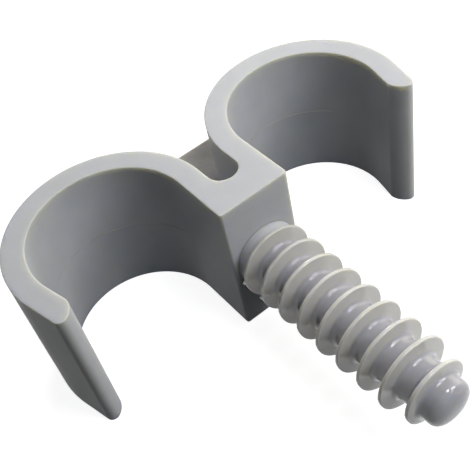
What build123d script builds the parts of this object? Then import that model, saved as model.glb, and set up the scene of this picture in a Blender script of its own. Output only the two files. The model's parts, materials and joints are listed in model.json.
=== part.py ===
"""Double pipe clip moulded in one piece with its ribbed wall peg, in millimetres.

The peg is tapped into a drilled hole until the flat face of the block meets the wall. Two open
hooks, side by side, then hold two pipes that run along the wall.

Frame: the origin is the centre of the block's wall face, on the peg's axis. X runs across the
pair of hooks, Y away from the wall, so the peg points to -Y, and Z runs along the pipes. The
moulding is the same on both sides of its parting plane, Z = 0, and of the plane X = 0.
"""

import math
import os

from build123d import *

# Hooks
pipe_bore = 16.0            # inside diameter of a hook, which is the pipe's diameter
pipe_spacing = 24.0         # from one pipe's axis to the other's
hook_wall = 2.4
clip_width = 16.3           # length of a hook along its pipe
wall_to_axis = 6.7          # from the wall to the pipes' axes

# Free end of a hook
lip_lean = 14.0             # degrees by which the straight lip leans inwards
lip_inner_length = 2.65     # straight run of the lip on its inside
lip_outer_length = 4.3      # and on its outside, to where the ramp would meet it
lead_in_radius = 2.2        # rounded ramp that guides a pipe into the mouth
nose_radius = 0.75
mouth_edge_radius = 0.25    # between the lip's inside and the ramp

# Block and the web behind it
block_thickness = 3.4       # from the wall face to the floor of the slot between the hooks
block_corner_radius = 0.3   # upright edges of the wall face
web_thickness = 2.6
web_setback = 0.15          # striking edge of the web, in front of the hooks' backs

# Peg
peg_length = 24.4           # from the wall face to the tip
collar_radius = 3.5
collar_length = 1.4
core_radius = 2.3
tip_crown = 0.25            # height of the slightly domed end
tip_corner_radius = 0.9
fin_count = 9
fin_pitch = 2.55
fin_radius = 3.95           # first fin, next to the collar
fin_radius_step = 0.02      # each further fin is smaller by this
end_fin_radius = 3.3        # the last fin, which finds the hole
fin_rim = 0.35              # thickness of a fin at its rim
fin_root = 0.9              # and where its flanks reach the core
fin_root_chamfer = 0.4      # widens the fin's root on the core

# Worked out from the sizes above
axis_x = pipe_spacing / 2
bore_radius = pipe_bore / 2
hook_radius = bore_radius + hook_wall
block_half = axis_x - bore_radius
slot_half = axis_x - hook_radius
half_width = clip_width / 2
peg_root = block_thickness / 2      # the peg's solid starts inside the block

lean = math.radians(lip_lean)
pipe_axis = Vector(axis_x, wall_to_axis)
lip_normal = Vector(math.cos(lean), -math.sin(lean))
lip_direction = Vector(-math.sin(lean), -math.cos(lean))
lip_inner_start = pipe_axis + lip_normal * bore_radius
lip_outer_start = pipe_axis + lip_normal * hook_radius
mouth_corner = lip_inner_start + lip_direction * lip_inner_length
lip_end = lip_outer_start + lip_direction * lip_outer_length
slot_end_centre = Vector(0, block_thickness + slot_half)
wall_middle_radius = bore_radius + hook_wall / 2
web_rise = hook_radius - web_setback
tip_corner = Vector(core_radius, -(peg_length - tip_crown))
tip_crown_radius = (core_radius**2 + tip_crown**2) / (2 * tip_crown)
match_tolerance = 0.001


def fin_outline(rear, rim_radius):
    """Corners of one fin's section, with its rear rim at Y = rear and its root in the core."""
    flare = (fin_root - fin_rim) / 2
    inside = core_radius / 2
    return [
        (inside, rear + flare),
        (core_radius, rear + flare),
        (rim_radius, rear),
        (rim_radius, rear - fin_rim),
        (core_radius, rear - fin_rim - flare),
        (inside, rear - fin_rim - flare),
    ]


with BuildPart() as double_pipe_clip:
    # Block and both hooks: the right half of the section is drawn and mirrored
    with BuildSketch() as section:
        with BuildLine():
            Polyline((0, 0), (block_half, 0), (block_half, wall_to_axis))
            CenterArc(pipe_axis, bore_radius, 180, -(180 + lip_lean))
            Line(lip_inner_start, mouth_corner)
            RadiusArc(mouth_corner, lip_end, -lead_in_radius)
            Line(lip_end, lip_outer_start)
            CenterArc(pipe_axis, hook_radius, -lip_lean, 180 + lip_lean)
            Line((slot_half, wall_to_axis), (slot_half, slot_end_centre.Y))
            CenterArc(slot_end_centre, slot_half, 0, -90)
            Line((0, block_thickness), (0, 0))
        make_face()
        fillet(section.vertices().sort_by_distance(lip_end)[0], nose_radius)
        fillet(section.vertices().sort_by_distance(mouth_corner)[0], mouth_edge_radius)
        fillet(section.vertices().sort_by_distance((block_half, 0))[0], block_corner_radius)
        mirror(about=Plane.YZ)
    extrude(amount=half_width, both=True)

    # Web across the slot on the parting plane, which takes the hammer's blow
    with BuildSketch():
        with Locations((0, wall_to_axis)):
            Rectangle(pipe_spacing, web_rise, align=(Align.CENTER, Align.MIN))
        with Locations((-axis_x, wall_to_axis), (axis_x, wall_to_axis)):
            Circle(wall_middle_radius, mode=Mode.SUBTRACT)
        with Locations((0, wall_to_axis)):
            Rectangle(2 * slot_half + hook_wall, wall_to_axis - peg_root,
                      align=(Align.CENTER, Align.MAX))
    extrude(amount=web_thickness / 2, both=True)

    # Peg: collar, core with its domed tip, and the fins
    with BuildSketch() as peg_section:
        with BuildLine():
            Polyline((0, peg_root), (collar_radius, peg_root), (collar_radius, -collar_length),
                     (core_radius, -collar_length), tip_corner)
            RadiusArc(tip_corner, (0, -peg_length), tip_crown_radius)
            Line((0, -peg_length), (0, peg_root))
        make_face()
        fillet(peg_section.vertices().sort_by_distance(tip_corner)[0], tip_corner_radius)
        for index in range(fin_count):
            last = index == fin_count - 1
            rim_radius = end_fin_radius if last else fin_radius - fin_radius_step * index
            with BuildLine():
                Polyline(fin_outline(-collar_length - fin_pitch * index, rim_radius), close=True)
            make_face()
        # The lowest vertex on the core's outline is where the tip's rounding starts
        core_vertices = peg_section.vertices().filter_by_position(
            Axis.X, core_radius - match_tolerance, core_radius + match_tolerance)
        chamfer(core_vertices.sort_by(Axis.Y)[1:], fin_root_chamfer)
    revolve(axis=Axis.Y)

double_pipe_clip.part.label = "double_pipe_clip"

os.makedirs("parts", exist_ok=True)
export_step(double_pipe_clip.part, "parts/double_pipe_clip.step")
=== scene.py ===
"""Looks of the double pipe clip: one moulding of light grey plastic, lying on a pale studio floor.

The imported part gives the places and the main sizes. This script rebuilds its surface with what the
mould leaves on such a clip, which is small edge radii, draft, a parting line and rounded fin roots,
and then dresses it, lights it and sets the camera. All lengths are in metres.
"""

import json
import logging
import math
from dataclasses import dataclass, field
from enum import Enum

import bmesh
import bpy
from mathutils import Matrix, Vector, noise


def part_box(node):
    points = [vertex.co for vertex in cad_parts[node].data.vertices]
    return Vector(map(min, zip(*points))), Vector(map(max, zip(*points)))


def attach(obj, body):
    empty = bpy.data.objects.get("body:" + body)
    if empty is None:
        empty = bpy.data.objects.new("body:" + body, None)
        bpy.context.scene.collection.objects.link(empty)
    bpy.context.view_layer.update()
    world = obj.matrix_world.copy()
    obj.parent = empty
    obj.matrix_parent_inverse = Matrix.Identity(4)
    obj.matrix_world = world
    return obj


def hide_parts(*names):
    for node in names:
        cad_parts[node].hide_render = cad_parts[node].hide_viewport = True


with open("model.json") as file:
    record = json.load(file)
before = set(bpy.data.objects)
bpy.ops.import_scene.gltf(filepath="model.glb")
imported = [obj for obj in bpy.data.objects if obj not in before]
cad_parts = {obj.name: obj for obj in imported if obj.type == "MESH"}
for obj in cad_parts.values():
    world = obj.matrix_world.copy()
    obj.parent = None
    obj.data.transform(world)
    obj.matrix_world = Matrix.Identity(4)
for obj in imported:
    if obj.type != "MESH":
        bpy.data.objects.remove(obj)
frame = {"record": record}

MM = 0.001
CLIP_NODE = "double_pipe_clip"
PIPE_MOUNT = "right_pipe"
BODY = "root"
MITRE_LIMIT = 1.0       # keeps a sharp corner of an outline from moving in too far

log = logging.getLogger("pipe_clip")


class Finish(Enum):
    """How the mould leaves a stretch of the plastic."""

    SATIN = "satin_plastic"
    # The web's rough face is also given a darker colour, which is painted shade of its recess between the
    # hooks
    ROUGH_SHADED = "rough_plastic"
    POLISHED = "polished_plastic"


class Socket(Enum):
    """What a socket of a node group carries."""

    COLOUR = "NodeSocketColor"
    VALUE = "NodeSocketFloat"


def sweep(centre: Vector, radius: float, start: float, end: float, step: float = 3.0) -> list[Vector]:
    """Points along an arc in the plane of the clip's section.

    Args:
        centre: The arc's centre.
        radius: Its radius.
        start: Angle of its first point in degrees, from +X towards +Y.
        end: Angle of its last point, lower than start for an arc that runs clockwise.
        step: Largest angle between two points.

    Returns:
        The points from start to end, both ends included.
    """
    count = max(1, math.ceil(abs(end - start) / step))
    angles = (math.radians(start + (end - start) * index / count) for index in range(count + 1))
    return [centre + radius * Vector((math.cos(angle), math.sin(angle))) for angle in angles]


def bearing(centre: Vector, point: Vector) -> float:
    """Angle in degrees from centre to point, from +X towards +Y."""
    return math.degrees(math.atan2(point.y - centre.y, point.x - centre.x))


def eased(corners: list[tuple[Vector, float]], steps: int = 5) -> list[Vector]:
    """Rounds the corners of an open line.

    Args:
        corners: The line's corners in order, each with how far its rounding reaches along both sides.
        steps: Number of short runs in each rounding.

    Returns:
        The points of the line, with each corner that has a reach turned into a smooth bend.
    """
    points = []
    for index, (corner, reach) in enumerate(corners):
        if reach <= 0 or index in (0, len(corners) - 1):
            points.append(corner.copy())
            continue
        start = corner + (corners[index - 1][0] - corner).normalized() * reach
        end = corner + (corners[index + 1][0] - corner).normalized() * reach
        for step in range(steps + 1):
            share = step / steps
            points.append(start.lerp(corner, share).lerp(corner.lerp(end, share), share))
    return points


def inward_steps(outline: list[Vector]) -> list[Vector]:
    """Moves that bring each corner of an outline in by one unit from both its sides.

    Args:
        outline: The outline's corners, anticlockwise.

    Returns:
        One move for each corner.
    """
    steps = []
    for index, point in enumerate(outline):
        first = (point - outline[index - 1]).normalized()
        second = (outline[(index + 1) % len(outline)] - point).normalized()
        normal = Vector((-first.y - second.y, first.x + second.x))
        steps.append(normal * 2 / max(normal.length_squared, MITRE_LIMIT))
    return steps


def mirrored(upper: list[tuple[float, float]]) -> list[tuple[float, float]]:
    """Adds the levels below the parting plane to those at and above it."""
    return [(-height, inset) for height, inset in reversed(upper) if height > 0] + upper


def linked(name: str, mesh: bmesh.types.BMesh) -> bpy.types.Object:
    """Turns a finished bmesh into an object of the scene.

    Args:
        name: Name of the object and of its mesh.
        mesh: The bmesh, which is freed.

    Returns:
        The object.
    """
    data = bpy.data.meshes.new(name)
    mesh.to_mesh(data)
    mesh.free()
    piece = bpy.data.objects.new(name, data)
    bpy.context.scene.collection.objects.link(piece)
    return piece


def skinned(name: str, rings: list[list[tuple[float, float, float]]]) -> bpy.types.Object:
    """Joins rings of points into a closed skin with a flat face over each end.

    Args:
        name: Name of the object.
        rings: The rings from the lowest up, each anticlockwise and with as many points as the others.

    Returns:
        The object.
    """
    mesh = bmesh.new()
    rows = [[mesh.verts.new(point) for point in ring] for ring in rings]
    for lower, higher in zip(rows, rows[1:]):
        for index in range(len(lower)):
            after = (index + 1) % len(lower)
            mesh.faces.new((lower[index], lower[after], higher[after], higher[index]))
    mesh.faces.new(list(reversed(rows[0])))
    mesh.faces.new(rows[-1])
    return linked(name, mesh)


@dataclass
class HookPair:
    """The block and both hooks: one section along the pipes, with rounded rims and a parting line.

    The steps are the largest angles, in degrees, between two points of an arc.
    """

    pipe_axis: Vector
    bore_radius: float
    hook_radius: float
    half_width: float
    lip_lean: float = 14.0                          # degrees by which the lip leans inwards
    lip_inner_length: float = 2.65 * MM
    lip_outer_length: float = 4.3 * MM
    lead_in_radius: float = 2.2 * MM
    nose_radius: float = 0.75 * MM
    mouth_edge_radius: float = 0.25 * MM
    block_thickness: float = 3.4 * MM
    block_corner_radius: float = 0.3 * MM
    bend_step: float = 12.0
    ramp_step: float = 6.0
    corner_step: float = 15.0
    slot_step: float = 9.0
    rim_radius: float = 0.07 * MM
    rim_steps: int = 4
    draft: float = math.tan(math.radians(0.06))
    flash_height: float = 0.01 * MM                 # of the parting line all round the section
    flash_half_width: float = 0.05 * MM
    bore_flash: float = 0.04 * MM                   # what it stands out further inside the bores

    @property
    def block_half(self) -> float:
        """Half the width of the block, which the two bores leave between them."""
        return self.pipe_axis.x - self.bore_radius

    @property
    def slot_half(self) -> float:
        """Half the width of the slot between the two hooks."""
        return self.pipe_axis.x - self.hook_radius

    def tangent_circle(self, corner: Vector, away: Vector, inward: Vector, ramp: Vector,
                       radius: float) -> Vector:
        """Centre of a small rounding between a straight side of the lip and its ramp.

        Args:
            corner: Where the side and the ramp meet.
            away: Unit vector along the side, from the corner.
            inward: Unit vector from the side into the plastic.
            ramp: Centre of the ramp's arc.
            radius: Radius of the rounding.

        Returns:
            The centre of the circle that touches both.
        """
        start = corner + inward * radius - ramp
        along = start.dot(away)
        gap = start.length_squared - (self.lead_in_radius - radius) ** 2
        return ramp + start - away * (along + math.sqrt(max(along * along - gap, 0.0)))

    def lip(self) -> list[Vector]:
        """Free end of the right hook.

        Returns:
            The points from its inside round the ramp to its outside.
        """
        lean = math.radians(self.lip_lean)
        normal = Vector((math.cos(lean), -math.sin(lean)))
        along = Vector((-math.sin(lean), -math.cos(lean)))
        mouth = self.pipe_axis + normal * self.bore_radius + along * self.lip_inner_length
        nose = self.pipe_axis + normal * self.hook_radius + along * self.lip_outer_length
        chord = nose - mouth
        rise = math.sqrt(self.lead_in_radius ** 2 - (chord.length / 2) ** 2)
        ramp = (mouth + nose) / 2 + Vector((-chord.y, chord.x)).normalized() * rise
        edge = self.tangent_circle(mouth, -along, normal, ramp, self.mouth_edge_radius)
        tip = self.tangent_circle(nose, -along, -normal, ramp, self.nose_radius)
        inside = bearing(Vector((0, 0)), -normal)
        outside = bearing(Vector((0, 0)), normal)
        ramp_start, ramp_end = bearing(ramp, edge), bearing(ramp, tip)
        return [
            *sweep(edge, self.mouth_edge_radius, inside, ramp_start + 360, self.bend_step),
            *sweep(ramp, self.lead_in_radius, ramp_start, ramp_end, self.ramp_step)[1:-1],
            *sweep(tip, self.nose_radius, ramp_end, outside, self.bend_step),
        ]

    def outline(self) -> list[Vector]:
        """The whole section.

        Returns:
            Its points, anticlockwise, so that the plastic is on its left.
        """
        corner = Vector((self.block_half, 0)) + self.block_corner_radius * Vector((-1, 1))
        slot_end = Vector((0, self.block_thickness + self.slot_half))
        right = [
            *sweep(corner, self.block_corner_radius, -90, 0, self.corner_step),
            *sweep(self.pipe_axis, self.bore_radius, 180, -self.lip_lean),
            *self.lip(),
            *sweep(self.pipe_axis, self.hook_radius, -self.lip_lean, 180),
            *sweep(slot_end, self.slot_half, 0, -90, self.slot_step),
        ]
        left = [Vector((-point.x, point.y)) for point in reversed(right[:-1])]
        return right + left

    def levels(self) -> list[tuple[float, float]]:
        """Heights of the section's copies, from the parting plane up.

        Returns:
            Each copy's height and how far it is drawn in.
        """
        wall_top = self.half_width - self.rim_radius
        levels = [(0.0, 0.0), (self.flash_half_width, self.flash_height)]
        levels.append((wall_top, self.drawn_in(wall_top)))
        for step in range(1, self.rim_steps + 1):
            turn = math.pi / 2 * step / self.rim_steps
            height = wall_top + self.rim_radius * math.sin(turn)
            levels.append((height, self.drawn_in(height) + self.rim_radius * (1 - math.cos(turn))))
        return levels

    def drawn_in(self, height: float) -> float:
        """How far the draft brings the walls in at a height above the parting plane."""
        return self.flash_height + self.draft * height

    def ridge(self, point: Vector, height: float) -> float:
        """How far the parting line stands out of a bore's wall, beyond what it does elsewhere.

        Args:
            point: A point of the section.
            height: Height of the copy that it belongs to.

        Returns:
            The distance, which is greatest opposite the mouth and 0 outside the bores.
        """
        from_axis = Vector((abs(point.x), point.y)) - self.pipe_axis
        if height != 0 or from_axis.length > self.bore_radius + self.flash_half_width:
            return 0.0
        return self.bore_flash * math.sqrt(max(0.0, from_axis.y / self.bore_radius))

    def build(self) -> bpy.types.Object:
        """Makes the closed mesh of the block and the hooks.

        Returns:
            The object.
        """
        outline = self.outline()
        steps = inward_steps(outline)
        return skinned("hook_pair", [
            [(*(point + step * (inset - self.ridge(point, height))), height)
             for point, step in zip(outline, steps)]
            for height, inset in mirrored(self.levels())
        ])


@dataclass
class SlotWeb:
    """The web on the parting plane that closes the slot and takes the hammer's blow."""

    hooks: HookPair
    thickness: float = 2.6 * MM
    setback: float = 0.15 * MM                      # of its rear edge, in front of the hooks' backs
    edge_radius: float = 0.12 * MM
    edge_turns: tuple[float, ...] = (30.0, 60.0, 90.0)

    def outline(self) -> list[Vector]:
        """The web's outline, with its sides buried in the walls of the hooks.

        Returns:
            Its points, anticlockwise.
        """
        hooks = self.hooks
        middle = (hooks.bore_radius + hooks.hook_radius) / 2
        rear = hooks.pipe_axis.y + hooks.hook_radius - self.setback
        foot = Vector((hooks.pipe_axis.x - middle, hooks.block_thickness / 2))
        right = [foot, *sweep(hooks.pipe_axis, middle, 180, 90), Vector((hooks.pipe_axis.x, rear))]
        return right + [Vector((-point.x, point.y)) for point in reversed(right)]

    def levels(self) -> list[tuple[float, float]]:
        """Heights of the outline's copies above the parting plane, round the upper edge.

        Returns:
            Each copy's height and how far it is drawn in.
        """
        levels = [(self.thickness / 2 - self.edge_radius, 0.0)]
        for turn in self.edge_turns:
            angle = math.radians(turn)
            levels.append((self.thickness / 2 - self.edge_radius * (1 - math.sin(angle)),
                           self.edge_radius * (1 - math.cos(angle))))
        return levels

    def build(self) -> bpy.types.Object:
        """Makes the closed mesh of the web.

        Returns:
            The object.
        """
        outline = self.outline()
        steps = inward_steps(outline)
        return skinned("slot_web", [
            [(*(point + step * inset), height) for point, step in zip(outline, steps)]
            for height, inset in mirrored(self.levels())
        ])


@dataclass
class WallPeg:
    """The peg: collar, core, and fins with rounded roots and rims, turned about the Y axis.

    Turns are in degrees round the peg, from +X towards +Z, and the parting line is at 0 and 180.
    """

    length: float
    inner_end: float
    collar_radius: float = 3.5 * MM
    collar_length: float = 1.4 * MM
    core_radius: float = 2.3 * MM
    tip_length: float = 1.15 * MM
    tip_fullness: float = 2.5                       # 2 would be half an ellipse
    tip_steps: int = 18
    fin_count: int = 9
    fin_pitch: float = 2.55 * MM
    fin_radius: float = 3.95 * MM
    fin_radius_step: float = 0.02 * MM
    end_fin_radius: float = 3.3 * MM
    fin_rim: float = 0.35 * MM
    fin_flare: float = 0.2 * MM
    rim_reach: float = 0.1 * MM
    root_radius: float = 0.55 * MM
    root_step: float = 9.0
    ripple: float = 0.03 * MM
    ripple_shift: float = 3.7                       # from one fin's place in the noise to the next
    flash_height: float = 0.03 * MM
    flash_half_turn: float = 1.6
    burrs: dict[int, float] = field(default_factory=lambda: {0: 0.22 * MM, 1: 0.2 * MM})
    burr_turn: float = 180.0
    burr_half_turn: float = 3.0
    burr_taper: float = 1.5
    burr_start: float = 0.8                         # share of a fin's height from which its burr grows
    turn_step: float = 3.75
    fine_turns: tuple[float, ...] = (-2.2, -1.1, 1.1, 2.2)

    def rear(self, index: int) -> float:
        """Place along the peg of a fin's rear rim."""
        return -self.collar_length - self.fin_pitch * index

    def rim(self, index: int) -> list[tuple[Vector, float]]:
        """Rim of one fin.

        Args:
            index: The fin's number, from 0 next to the collar.

        Returns:
            The rim's two corners, each with the reach of its rounding.
        """
        last = index == self.fin_count - 1
        radius = self.end_fin_radius if last else self.fin_radius - self.fin_radius_step * index
        rear = self.rear(index)
        return [(Vector((radius, place)), self.rim_reach) for place in (rear, rear - self.fin_rim)]

    def root(self, corner: float, side: int) -> list[tuple[Vector, float]]:
        """Rounding between a fin's flank and the core.

        Args:
            corner: Place along the peg where the flank would meet the core.
            side: 1 for the flank at the fin's front, -1 for the one at its rear.

        Returns:
            The points of the rounding from the flank to the core, with no reach of their own.
        """
        slope = math.atan(self.fin_flare / (self.fin_radius - self.core_radius))
        reach = self.root_radius * math.tan(math.pi / 4 - slope / 2)
        centre = Vector((self.core_radius + self.root_radius, corner - side * reach))
        arc = sweep(centre, self.root_radius, 90 + math.degrees(slope), 180, self.root_step)
        return [(Vector((point.x, centre.y + side * (point.y - centre.y))), 0.0) for point in arc]

    def profile(self) -> list[Vector]:
        """The peg's half section.

        Returns:
            Its points as radius and Y, from inside the block to the tip.
        """
        collar = ((0, self.inner_end), (self.collar_radius, self.inner_end),
                  (self.collar_radius, -self.collar_length))
        corners = [(Vector(corner), 0.0) for corner in collar]
        for index in range(self.fin_count):
            if index > 0:
                corners += reversed(self.root(self.rear(index) + self.fin_flare, -1))
            corners += self.rim(index)
            corners += self.root(self.rear(index) - self.fin_rim - self.fin_flare, 1)
        return eased(corners) + self.tip()

    def tip(self) -> list[Vector]:
        """Half section of the domed tip, fuller than half an ellipse.

        Returns:
            The points from the end of the straight core to the peg's axis.
        """
        points = []
        for step in range(self.tip_steps + 1):
            turn = math.pi / 2 * step / self.tip_steps
            across = self.core_radius * math.cos(turn) ** (2 / self.tip_fullness)
            along = self.tip_length * math.sin(turn) ** (2 / self.tip_fullness)
            points.append(Vector((across, self.tip_length - self.length - along)))
        points[-1].x = 0
        return points

    def turns(self) -> list[float]:
        """Turns of the peg's meridians.

        Returns:
            The turns in order, closer together beside the parting line.
        """
        regular = [step * self.turn_step for step in range(round(360 / self.turn_step))]
        near = [side + offset for side in (0, 180) for offset in self.fine_turns]
        return sorted({turn % 360 for turn in regular + near})

    def placed(self, radius: float, along: float, turn: float) -> Vector:
        """Place of one vertex, with the fins' slight ripple, the parting line and the burrs on it.

        Args:
            radius: Its distance from the peg's axis on the plain half section.
            along: Its place along the peg there.
            turn: Its meridian.

        Returns:
            The vertex's place.
        """
        angle = math.radians(turn)
        share = max(0.0, (radius - self.core_radius) / (self.fin_radius - self.core_radius))
        index = round((-self.collar_length - along) / self.fin_pitch)
        if along < -self.collar_length - self.rim_reach / 2:
            wave = noise.noise(Vector((math.cos(angle), math.sin(angle), index * self.ripple_shift)))
            along += self.ripple * share * share * wave
        off_line = abs((turn + 90) % 180 - 90)
        # The parting line shows neither inside the block nor in the middle of the tip
        if self.inner_end > along and radius > self.core_radius / 2:
            radius += self.flash_height * max(0.0, 1 - off_line / self.flash_half_turn)
        if share > self.burr_start and index in self.burrs:
            fade = max(0.0, 1 - abs(turn - self.burr_turn) / self.burr_half_turn)
            radius += self.burrs[index] * fade ** self.burr_taper
        return Vector((radius * math.cos(angle), along, radius * math.sin(angle)))

    def build(self) -> bpy.types.Object:
        """Makes the closed mesh of the peg.

        Returns:
            The object.
        """
        turns = self.turns()
        count = len(turns)
        mesh = bmesh.new()
        profile = self.profile()
        poles = [mesh.verts.new((0, profile[0].y, 0)), mesh.verts.new((0, profile[-1].y, 0))]
        rings = [[mesh.verts.new(self.placed(point.x, point.y, turn)) for turn in turns]
                 for point in profile[1:-1]]
        for nearer, further in zip(rings, rings[1:]):
            for index in range(count):
                after = (index + 1) % count
                mesh.faces.new((nearer[index], further[index], further[after], nearer[after]))
        for index in range(count):
            after = (index + 1) % count
            mesh.faces.new((poles[0], rings[0][index], rings[0][after]))
            mesh.faces.new((poles[1], rings[-1][after], rings[-1][index]))
        bmesh.ops.recalc_face_normals(mesh, faces=mesh.faces)
        return linked("wall_peg", mesh)


@dataclass(frozen=True)
class MouldedPlastic:
    """A light grey plastic that lets a little light in, as one mould surface leaves it.

    The edge's tint is painted glow of the light that comes through thin edges and shows within its reach
    of a sharp edge, and the fins' tint is painted glow of the light through the thin fins and grows from
    the start to the end, both distances from the peg's axis. Colours are linear.
    """

    finish: Finish
    roughness: float
    roughness_spread: float
    grain_depth: float
    gloss: float
    colour: tuple[float, float, float] = (0.44, 0.447, 0.462)
    shade: tuple[float, float, float] = (0.42, 0.427, 0.44)
    edge_glow_colour: tuple[float, float, float] = (0.48, 0.47, 0.38)
    edge_reach: float = 0.4 * MM
    fin_glow_colour: tuple[float, float, float] = (0.52, 0.51, 0.49)
    fin_start: float = 2.42 * MM
    fin_end: float = 2.8 * MM
    scatter: float = 1.0
    scatter_reach: tuple[float, float, float] = (1.0, 0.92, 0.55)
    scatter_scale: float = 1.8 * MM
    ior: float = 1.5

    def material(self, groups: "SurfaceGroups") -> bpy.types.Material:
        """Builds the material.

        Args:
            groups: The surface effects that the materials share.

        Returns:
            A material named after the finish.
        """
        made = bpy.data.materials.new(self.finish.value)
        made.use_nodes = True
        nodes, links = made.node_tree.nodes, made.node_tree.links
        shader = nodes["Principled BSDF"]
        shader.inputs["Subsurface Weight"].default_value = self.scatter
        shader.inputs["Subsurface Radius"].default_value = self.scatter_reach
        shader.inputs["Subsurface Scale"].default_value = self.scatter_scale
        shader.inputs["IOR"].default_value = self.ior
        shader.inputs["Specular IOR Level"].default_value = self.gloss
        flow = groups.place(nodes, groups.flow)
        flow.inputs["Light"].default_value = (*self.colour, 1)
        flow.inputs["Dark"].default_value = (*self.shade, 1)
        colour = flow.outputs["Color"]
        # The fins' tint is painted glow of the light that comes through the thin fins
        if self.finish is Finish.POLISHED:
            thin = groups.place(nodes, groups.thin)
            thin.inputs["Start"].default_value = self.fin_start
            thin.inputs["End"].default_value = self.fin_end
            colour = self.tinted(nodes, links, colour, thin.outputs["Mask"], self.fin_glow_colour)
        # The edge tint is painted glow of the light that comes through thin edges
        edge = groups.place(nodes, groups.edge)
        edge.inputs["Reach"].default_value = self.edge_reach
        colour = self.tinted(nodes, links, colour, edge.outputs["Mask"], self.edge_glow_colour)
        links.new(colour, shader.inputs["Base Color"])
        grain = groups.place(nodes, groups.grain)
        grain.inputs["Middle"].default_value = self.roughness
        grain.inputs["Spread"].default_value = self.roughness_spread
        links.new(grain.outputs["Roughness"], shader.inputs["Roughness"])
        bump = nodes.new("ShaderNodeBump")
        bump.inputs["Distance"].default_value = self.grain_depth
        links.new(grain.outputs["Height"], bump.inputs["Height"])
        links.new(bump.outputs["Normal"], shader.inputs["Normal"])
        return made

    @staticmethod
    def tinted(nodes: bpy.types.Nodes, links: bpy.types.NodeLinks, colour: bpy.types.NodeSocket,
               mask: bpy.types.NodeSocket, tint: tuple[float, float, float]) -> bpy.types.NodeSocket:
        """Mixes a tint into a colour where a mask is 1.

        Args:
            nodes: The material's nodes.
            links: The material's links.
            colour: The colour to change.
            mask: Where the tint shows, from 0 to 1.
            tint: The colour that it turns to.

        Returns:
            The mixed colour.
        """
        mix = nodes.new("ShaderNodeMix")
        mix.data_type = "RGBA"
        links.new(mask, mix.inputs["Factor"])
        links.new(colour, mix.inputs["A"])
        mix.inputs["B"].default_value = (*tint, 1)
        return mix.outputs["Result"]


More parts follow.
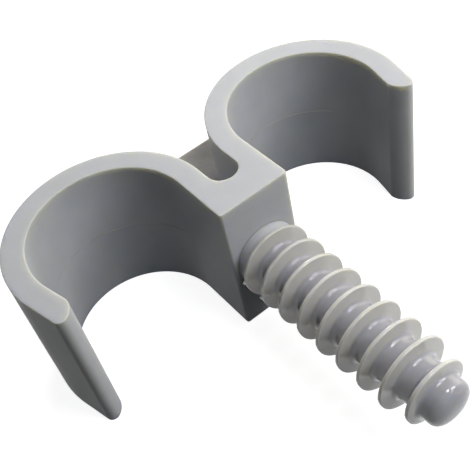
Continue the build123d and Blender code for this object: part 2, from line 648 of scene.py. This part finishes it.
class SurfaceGroups:
    """The node groups that the plastic's finishes share."""

    FLOW_PATCH = 2.2 * MM
    FLOW_DETAIL = 4.0
    FLOW_LOW, FLOW_HIGH = 0.3, 0.7      # stretch of the noise that goes from one shade to the other
    GLOSS_PATCH = 0.9 * MM
    GLOSS_DETAIL = 3.0
    GRAIN_PATCH = 0.22 * MM
    GRAIN_DETAIL = 2.0
    NOISE_MIDDLE = 0.5
    EDGE_SAMPLES = 6
    FLAT, SHARP = 1.0, 0.72             # cosine of the turn between the face and its rounded normal

    def __init__(self) -> None:
        """Builds each group once."""
        self.flow = self.flow_group()
        self.grain = self.grain_group()
        self.edge = self.edge_glow_group()
        self.thin = self.fin_glow_group()

    @staticmethod
    def started(name: str, inputs: dict[str, Socket],
                outputs: dict[str, Socket]) -> tuple[bpy.types.NodeTree, bpy.types.Node, bpy.types.Node]:
        """Starts a node group.

        Args:
            name: The group's name.
            inputs: The names of its inputs, each with what it carries.
            outputs: The same for its outputs.

        Returns:
            The group, its input node and its output node.
        """
        tree = bpy.data.node_groups.new(name, "ShaderNodeTree")
        for side, sockets in (("INPUT", inputs), ("OUTPUT", outputs)):
            for label, socket in sockets.items():
                tree.interface.new_socket(label, in_out=side, socket_type=socket.value)
        return tree, tree.nodes.new("NodeGroupInput"), tree.nodes.new("NodeGroupOutput")

    @staticmethod
    def place(nodes: bpy.types.Nodes, group: bpy.types.NodeTree) -> bpy.types.Node:
        """Places a group in a material's nodes.

        Args:
            nodes: The material's nodes.
            group: The group.

        Returns:
            The node that holds it.
        """
        placed = nodes.new("ShaderNodeGroup")
        placed.node_tree = group
        return placed

    @staticmethod
    def noise_at(tree: bpy.types.NodeTree, size: float, detail: float) -> bpy.types.NodeSocket:
        """Adds a noise whose patches are about the given size in metres.

        Args:
            tree: The group to add it to.
            size: Width of a patch.
            detail: Number of finer layers.

        Returns:
            The noise's value, from 0 to 1.
        """
        place = tree.nodes.new("ShaderNodeTexCoord")
        made = tree.nodes.new("ShaderNodeTexNoise")
        made.inputs["Scale"].default_value = 1 / size
        made.inputs["Detail"].default_value = detail
        tree.links.new(place.outputs["Object"], made.inputs["Vector"])
        return made.outputs["Fac"]

    @classmethod
    def flow_group(cls) -> bpy.types.NodeTree:
        """Slight shifts of colour where the melt flowed and cooled.

        Returns:
            The group.
        """
        tree, inlet, outlet = cls.started(
            "flow_shades", {"Light": Socket.COLOUR, "Dark": Socket.COLOUR}, {"Color": Socket.COLOUR})
        ramp = tree.nodes.new("ShaderNodeMapRange")
        ramp.inputs["From Min"].default_value = cls.FLOW_LOW
        ramp.inputs["From Max"].default_value = cls.FLOW_HIGH
        mix = tree.nodes.new("ShaderNodeMix")
        mix.data_type = "RGBA"
        tree.links.new(cls.noise_at(tree, cls.FLOW_PATCH, cls.FLOW_DETAIL), ramp.inputs["Value"])
        tree.links.new(ramp.outputs["Result"], mix.inputs["Factor"])
        tree.links.new(inlet.outputs["Light"], mix.inputs["A"])
        tree.links.new(inlet.outputs["Dark"], mix.inputs["B"])
        tree.links.new(mix.outputs["Result"], outlet.inputs["Color"])
        return tree

    @classmethod
    def grain_group(cls) -> bpy.types.NodeTree:
        """Fine grain of the mould's surface, as a roughness and a height.

        Returns:
            The group.
        """
        tree, inlet, outlet = cls.started(
            "mould_grain", {"Middle": Socket.VALUE, "Spread": Socket.VALUE},
            {"Roughness": Socket.VALUE, "Height": Socket.VALUE})
        patch = cls.noise_at(tree, cls.GLOSS_PATCH, cls.GLOSS_DETAIL)
        centred = tree.nodes.new("ShaderNodeMath")
        centred.operation = "SUBTRACT"
        centred.inputs[1].default_value = cls.NOISE_MIDDLE
        spread = tree.nodes.new("ShaderNodeMath")
        spread.operation = "MULTIPLY_ADD"
        tree.links.new(patch, centred.inputs[0])
        tree.links.new(centred.outputs["Value"], spread.inputs[0])
        tree.links.new(inlet.outputs["Spread"], spread.inputs[1])
        tree.links.new(inlet.outputs["Middle"], spread.inputs[2])
        tree.links.new(spread.outputs["Value"], outlet.inputs["Roughness"])
        tree.links.new(cls.noise_at(tree, cls.GRAIN_PATCH, cls.GRAIN_DETAIL), outlet.inputs["Height"])
        return tree

    @classmethod
    def edge_glow_group(cls) -> bpy.types.NodeTree:
        """A mask that is 1 on sharp edges and fades over a reach, for the painted glow of the light that
        comes through them.

        Returns:
            The group.
        """
        tree, inlet, outlet = cls.started("edge_glow_mask", {"Reach": Socket.VALUE}, {"Mask": Socket.VALUE})
        bevel = tree.nodes.new("ShaderNodeBevel")
        bevel.samples = cls.EDGE_SAMPLES
        place = tree.nodes.new("ShaderNodeNewGeometry")
        turned = tree.nodes.new("ShaderNodeVectorMath")
        turned.operation = "DOT_PRODUCT"
        mask = tree.nodes.new("ShaderNodeMapRange")
        mask.interpolation_type = "SMOOTHSTEP"
        mask.inputs["From Min"].default_value = cls.FLAT
        mask.inputs["From Max"].default_value = cls.SHARP
        tree.links.new(inlet.outputs["Reach"], bevel.inputs["Radius"])
        tree.links.new(bevel.outputs["Normal"], turned.inputs[0])
        tree.links.new(place.outputs["Normal"], turned.inputs[1])
        tree.links.new(turned.outputs["Value"], mask.inputs["Value"])
        tree.links.new(mask.outputs["Result"], outlet.inputs["Mask"])
        return tree

    @classmethod
    def fin_glow_group(cls) -> bpy.types.NodeTree:
        """A mask that grows from 0 to 1 between two distances from the peg's axis, for the fins' painted
        glow of light through them.

        Returns:
            The group.
        """
        tree, inlet, outlet = cls.started(
            "fin_glow_mask", {"Start": Socket.VALUE, "End": Socket.VALUE}, {"Mask": Socket.VALUE})
        place = tree.nodes.new("ShaderNodeTexCoord")
        across = tree.nodes.new("ShaderNodeVectorMath")
        across.operation = "MULTIPLY"
        across.inputs[1].default_value = (1, 0, 1)
        length = tree.nodes.new("ShaderNodeVectorMath")
        length.operation = "LENGTH"
        mask = tree.nodes.new("ShaderNodeMapRange")
        mask.interpolation_type = "SMOOTHSTEP"
        tree.links.new(place.outputs["Object"], across.inputs[0])
        tree.links.new(across.outputs["Vector"], length.inputs[0])
        tree.links.new(length.outputs["Value"], mask.inputs["Value"])
        tree.links.new(inlet.outputs["Start"], mask.inputs["From Min"])
        tree.links.new(inlet.outputs["End"], mask.inputs["From Max"])
        tree.links.new(mask.outputs["Result"], outlet.inputs["Mask"])
        return tree


# The edge tints, and the fins' tint of the polished finish, are painted glow of light through thin plastic
FINISHES = (
    MouldedPlastic(Finish.SATIN, roughness=0.4, roughness_spread=0.1, grain_depth=0.01 * MM, gloss=0.03),
    # The web's darker colour and darker flow shade are painted shade of its recess between the hooks
    MouldedPlastic(Finish.ROUGH_SHADED, roughness=0.6, roughness_spread=0.1, grain_depth=0.03 * MM, gloss=0.1,
                   colour=(0.32, 0.31, 0.295), shade=(0.26, 0.25, 0.237)),
    MouldedPlastic(Finish.POLISHED, roughness=0.07, roughness_spread=0.03, grain_depth=0.001 * MM,
                   gloss=0.5, colour=(0.34, 0.34, 0.37), shade=(0.325, 0.32, 0.345),
                   edge_glow_colour=(0.53, 0.525, 0.51), edge_reach=0.18 * MM, scatter_scale=0.4 * MM),
)


@dataclass
class Moulding:
    """The whole clip: hooks, web and peg joined into one skin."""

    hooks: HookPair
    web: SlotWeb
    peg: WallPeg
    crease: float = math.radians(38)
    web_margin: float = 0.01 * MM
    level: float = 0.5                              # least Z of the normal of a face that lies flat

    def joined(self, base: bpy.types.Object, other: bpy.types.Object) -> bpy.types.Object:
        """Unites another closed piece with the base, and removes the other.

        Args:
            base: The piece that stays.
            other: The piece that is added to it.

        Returns:
            The base with its new mesh.
        """
        union = base.modifiers.new("union", "BOOLEAN")
        union.operation = "UNION"
        union.solver = "EXACT"
        union.object = other
        whole = bpy.data.meshes.new_from_object(base.evaluated_get(bpy.context.evaluated_depsgraph_get()))
        base.modifiers.clear()
        base.data = whole
        bpy.data.objects.remove(other)
        return base

    def build(self) -> bpy.types.Object:
        """Makes the clip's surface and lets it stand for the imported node.

        Returns:
            The clip's one piece.
        """
        piece = self.joined(self.hooks.build(), self.web.build())
        piece = self.joined(piece, self.peg.build())
        piece.name = "moulded_clip"
        piece.data.name = piece.name
        self.smooth(piece)
        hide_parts(CLIP_NODE)
        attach(piece, BODY)
        return piece

    def smooth(self, piece: bpy.types.Object) -> None:
        """Shades the skin smooth up to its creases, with the broad faces kept flat.

        Args:
            piece: The joined skin.
        """
        for face in piece.data.polygons:
            face.use_smooth = True
        piece.data.set_sharp_from_angle(angle=self.crease)
        weighted = piece.modifiers.new("flat_broad_faces", "WEIGHTED_NORMAL")
        weighted.keep_sharp = True
        weighted.mode = "FACE_AREA"

    def finish_at(self, face: bpy.types.MeshPolygon) -> Finish:
        """Tells how the mould leaves one face.

        Args:
            face: A face of the joined skin.

        Returns:
            Polished on the finned core, rough with painted shade on the web's flat faces and satin
            elsewhere.
        """
        centre = face.center
        if centre.y < -self.peg.collar_length:
            return Finish.POLISHED
        in_slot = abs(centre.x) < self.hooks.pipe_axis.x and centre.y > self.hooks.block_thickness
        on_web = abs(centre.z) < self.web.thickness / 2 + self.web_margin
        lies_flat = abs(face.normal.z) > self.level
        return Finish.ROUGH_SHADED if in_slot and on_web and lies_flat else Finish.SATIN

    def dress(self, piece: bpy.types.Object, groups: SurfaceGroups) -> None:
        """Gives each face of the clip its finish.

        Args:
            piece: The joined skin.
            groups: The surface effects that the materials share.
        """
        piece.data.materials.clear()
        for plastic in FINISHES:
            piece.data.materials.append(plastic.material(groups))
        places = {plastic.finish: place for place, plastic in enumerate(FINISHES)}
        for face in piece.data.polygons:
            face.material_index = places[self.finish_at(face)]


@dataclass(frozen=True)
class Lamp:
    """A square lamp that faces the clip.

    The bearing is in degrees from +X towards +Y, the height in degrees above the floor, and the power
    in watts. The size is the length of a side, and the distance is from the origin.
    """

    name: str
    bearing: float
    height: float
    size: float
    power: float
    colour: tuple[float, float, float] = (1, 1, 1)
    distance: float = 0.16

    def hang(self) -> None:
        """Puts the lamp in the scene."""
        turn, rise = math.radians(self.bearing), math.radians(self.height)
        direction = Vector((math.cos(turn) * math.cos(rise), math.sin(turn) * math.cos(rise),
                            math.sin(rise)))
        data = bpy.data.lights.new(self.name, "AREA")
        data.size, data.energy, data.color = self.size, self.power, self.colour
        lamp = bpy.data.objects.new(self.name, data)
        lamp.location = self.distance * direction
        lamp.rotation_euler = (-direction).to_track_quat("-Z", "Y").to_euler()
        bpy.context.scene.collection.objects.link(lamp)


# The small lamp for the shine makes the thin streaks on the fins' roots and on the tip
LAMPS = (
    Lamp("front_high", bearing=-60, height=68, size=0.05, power=0.122),
    Lamp("front_right", bearing=-38, height=44, size=0.045, power=0.064, distance=0.12),
    Lamp("front_low", bearing=-88, height=15, size=0.1, power=0.018, colour=(0.6, 0.8, 1.0)),
    Lamp("right_low", bearing=0, height=15, size=0.1, power=0.065, colour=(1.0, 0.96, 0.75)),
    Lamp("left_fill", bearing=128, height=12, size=0.1, power=0.03),
    Lamp("rear", bearing=60, height=38, size=0.045, power=0.135),
    Lamp("shine", bearing=-66, height=37, size=0.026, power=0.027),
)


@dataclass
class Studio:
    """A pale floor, soft lamps and the camera at the photograph's place."""

    clip_underside: float
    floor_gap: float = 0.01 * MM                    # keeps the clip's flat side off the floor's plane
    floor_radius: float = 2.0
    floor_corners: int = 96
    floor_dull: float = 0.05                        # what the floor throws back on the clip
    floor_lit: float = 0.35                         # what shows the clip's shadow
    floor_glow: float = 0.9
    world_fill: float = 0.03                        # light from all round, for the shaded sides
    world_shown: float = 1.0
    camera_place: Vector = Vector((-26.44, -45.73, 59.31)) * MM
    camera_aim: Vector = Vector((-0.851, 4.092, 0.0)) * MM
    camera_roll: float = -14.457
    camera_near: float = 1 * MM
    camera_far: float = 10.0
    lens: float = 61.37
    sensor: float = 36.0

    def build(self) -> None:
        """Sets up everything round the clip, at plain colours."""
        bpy.context.scene.view_settings.view_transform = "Standard"
        self.floor()
        self.world()
        for lamp in LAMPS:
            lamp.hang()
        self.camera()

    def camera(self) -> None:
        """Puts the camera where the photograph was taken from."""
        data = bpy.data.cameras.new("camera")
        data.lens = self.lens
        data.sensor_width = self.sensor
        data.clip_start, data.clip_end = self.camera_near, self.camera_far
        camera = bpy.data.objects.new("camera", data)
        bpy.context.scene.collection.objects.link(camera)
        turned = (self.camera_aim - self.camera_place).to_track_quat("-Z", "Y").to_matrix()
        turned = turned @ Matrix.Rotation(math.radians(self.camera_roll), 3, "Z")
        camera.matrix_world = Matrix.Translation(self.camera_place) @ turned.to_4x4()
        bpy.context.scene.camera = camera

    @staticmethod
    def background_rays(nodes: bpy.types.Nodes, links: bpy.types.NodeLinks) -> bpy.types.NodeSocket:
        """Tells rays that show the background from those that light the clip.

        Args:
            nodes: Nodes of the material or the world.
            links: Their links.

        Returns:
            A value that is 1 for the first and 0 for the others.
        """
        path = nodes.new("ShaderNodeLightPath")
        total = path.outputs["Is Camera Ray"]
        for name in ("Is Glossy Ray", "Is Transmission Ray"):
            either = nodes.new("ShaderNodeMath")
            either.operation = "MAXIMUM"
            links.new(total, either.inputs[0])
            links.new(path.outputs[name], either.inputs[1])
            total = either.outputs["Value"]
        return total

    def floor(self) -> None:
        """Lays the floor under the clip: near white to the eye, with the clip's soft shadow on it."""
        mesh = bmesh.new()
        bmesh.ops.create_circle(mesh, cap_ends=True, segments=self.floor_corners,
                                radius=self.floor_radius)
        floor = linked("floor", mesh)
        floor.location.z = self.clip_underside - self.floor_gap
        made = bpy.data.materials.new("pale_floor")
        made.use_nodes = True
        nodes, links = made.node_tree.nodes, made.node_tree.links
        nodes.remove(nodes["Principled BSDF"])
        dull = nodes.new("ShaderNodeBsdfDiffuse")
        dull.inputs["Color"].default_value = (*[self.floor_dull] * 3, 1)
        lit = nodes.new("ShaderNodeBsdfDiffuse")
        lit.inputs["Color"].default_value = (*[self.floor_lit] * 3, 1)
        glow = nodes.new("ShaderNodeEmission")
        glow.inputs["Strength"].default_value = self.floor_glow
        shown = nodes.new("ShaderNodeAddShader")
        mix = nodes.new("ShaderNodeMixShader")
        links.new(lit.outputs["BSDF"], shown.inputs[0])
        links.new(glow.outputs["Emission"], shown.inputs[1])
        links.new(self.background_rays(nodes, links), mix.inputs["Fac"])
        links.new(dull.outputs["BSDF"], mix.inputs[1])
        links.new(shown.outputs["Shader"], mix.inputs[2])
        links.new(mix.outputs["Shader"], nodes["Material Output"].inputs["Surface"])
        floor.data.materials.append(made)

    def world(self) -> None:
        """Makes the surroundings white to the eye and dim as a light."""
        world = bpy.data.worlds.new("studio")
        world.use_nodes = True
        bpy.context.scene.world = world
        nodes, links = world.node_tree.nodes, world.node_tree.links
        background = nodes["Background"]
        strength = nodes.new("ShaderNodeMapRange")
        strength.inputs["To Min"].default_value = self.world_fill
        strength.inputs["To Max"].default_value = self.world_shown
        links.new(self.background_rays(nodes, links), strength.inputs["Value"])
        links.new(strength.outputs["Result"], background.inputs["Strength"])
        background.inputs["Color"].default_value = (1, 1, 1, 1)


def main() -> None:
    """Builds the clip and the studio."""
    logging.basicConfig(level=logging.INFO, format="%(message)s")
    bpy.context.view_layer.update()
    low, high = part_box(CLIP_NODE)
    mount = next(mount for mount in frame["record"]["mounts"] if mount["name"] == PIPE_MOUNT)
    pipe_axis = Vector(mount["pos_m"][:2])
    hooks = HookPair(pipe_axis=pipe_axis, bore_radius=mount["dims"]["r_mm"] * MM,
                     hook_radius=high.y - pipe_axis.y, half_width=high.z)
    moulding = Moulding(hooks, SlotWeb(hooks), WallPeg(length=-low.y, inner_end=hooks.block_thickness / 2))
    piece = moulding.build()
    moulding.dress(piece, SurfaceGroups())
    log.info("%s has %d vertices", piece.name, len(piece.data.vertices))
    Studio(clip_underside=low.z).build()


if __name__ == "__main__":
    main()
